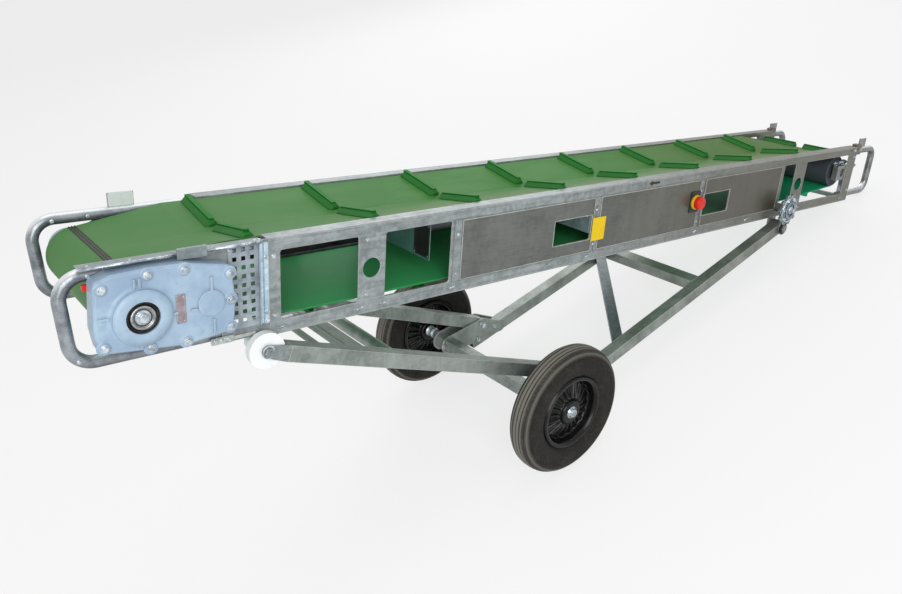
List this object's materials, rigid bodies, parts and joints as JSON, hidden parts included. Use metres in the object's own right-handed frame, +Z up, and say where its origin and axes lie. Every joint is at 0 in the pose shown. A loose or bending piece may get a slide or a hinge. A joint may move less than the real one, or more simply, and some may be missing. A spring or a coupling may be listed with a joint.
{
  "type": "portable belt conveyor",
  "caption": "Portable inclined belt conveyor with two-piece cleats, side frames with cover panels, shaft gearbox, two-wheeled undercarriage and height-adjusting arms.",
  "frame": {"origin": "middle of the floor area that the parked machine covers, on the floor", "axes": "+Z up; +X horizontal from the drive end towards the tail end; +Y across, away from the gearbox side"},
  "size_m": [3.1632, 0.762, 1.1718],
  "materials": {
    "zinc_sheet": "galvanised",
    "brushed_sheet": "brushed",
    "zinc_tube": "galvanised",
    "zinc_plated": "zinc plated",
    "machined_steel": "machined",
    "blue_grey_casting": "satin paint",
    "green_belt": "smooth",
    "yellow_plate": "matt",
    "red_button": "gloss",
    "black_plastic": "moulded",
    "tyre_rubber": "ribbed",
    "white_nylon": "matt"
  },
  "bodies": {
    "conveyor": {"belt": "green_belt", "bottom_rail_far": "zinc_sheet", "bottom_rail_near": "zinc_sheet", "bulkhead": "zinc_sheet", "cover_panels_far": "brushed_sheet", "cover_panels_near": "brushed_sheet", "cover_strip": "brushed_sheet", "cross_members": "zinc_tube", "drive_guard": "zinc_plated", "drive_motor": "blue_grey_casting", "gearbox": "blue_grey_casting", "head_bearing": "blue_grey_casting", "head_drum": "machined_steel", "head_handles": "zinc_tube", "head_plates": "brushed_sheet", "lift_pivots": "zinc_tube", "side_web_far": "brushed_sheet", "side_web_near": "brushed_sheet", "slider_bed": "zinc_sheet", "stop_button": "red_button", "stop_plate": "yellow_plate", "tail_drum": "machined_steel", "tail_handles": "zinc_tube", "take_ups": "zinc_sheet", "top_rail_far": "zinc_sheet", "top_rail_near": "zinc_sheet", "winch_gear": "zinc_plated"},
    "lift_frame": {"axle_beam": "zinc_tube", "knee_plates": "zinc_sheet", "lift_arm_far": "zinc_tube", "lift_arm_near": "zinc_tube", "lift_brace": "zinc_tube", "lift_cross_bar": "zinc_tube"},
    "roller_frame": {"roller_arm_far": "zinc_tube", "roller_arm_near": "zinc_tube", "roller_cross_bars": "zinc_tube", "roller_cross_tube": "zinc_tube", "roller_forks": "zinc_plated"},
    "wheel_near": {"tyre_near": "tyre_rubber", "wheel_rim_near": "black_plastic"},
    "wheel_far": {"tyre_far": "tyre_rubber", "wheel_rim_far": "black_plastic"},
    "rail_roller_near": {"rail_roller_near": "white_nylon"},
    "rail_roller_far": {"rail_roller_far": "white_nylon"}
  },
  "joints": [
    {"name": "lift_hinge", "type": "hinge", "parent": "conveyor", "child": "lift_frame", "pos_m": [0.8048, 0, 0.16559], "axis": [0, -1, 0], "range_deg": [0, 30]},
    {"name": "knee_hinge", "type": "hinge", "parent": "lift_frame", "child": "roller_frame", "pos_m": [-0.33346, 0, 0.18829], "axis": [0, 1, 0], "range_deg": [0, 62.27]},
    {"name": "wheel_spin_near", "type": "hinge", "parent": "lift_frame", "child": "wheel_near", "pos_m": [-0.47975, -0.34, 0.2], "axis": [0, 1, 0], "continuous": true},
    {"name": "wheel_spin_far", "type": "hinge", "parent": "lift_frame", "child": "wheel_far", "pos_m": [-0.47975, 0.34, 0.2], "axis": [0, 1, 0], "continuous": true},
    {"name": "rail_roller_spin_near", "type": "hinge", "parent": "roller_frame", "child": "rail_roller_near", "pos_m": [-1.22183, -0.201, 0.82123], "axis": [0, 1, 0], "continuous": true},
    {"name": "rail_roller_spin_far", "type": "hinge", "parent": "roller_frame", "child": "rail_roller_far", "pos_m": [-1.22183, 0.201, 0.82123], "axis": [0, 1, 0], "continuous": true}
  ],
  "couplings": [
    {"joint": "knee_hinge", "follows": "lift_hinge", "ratio": 2.059}
  ]
}
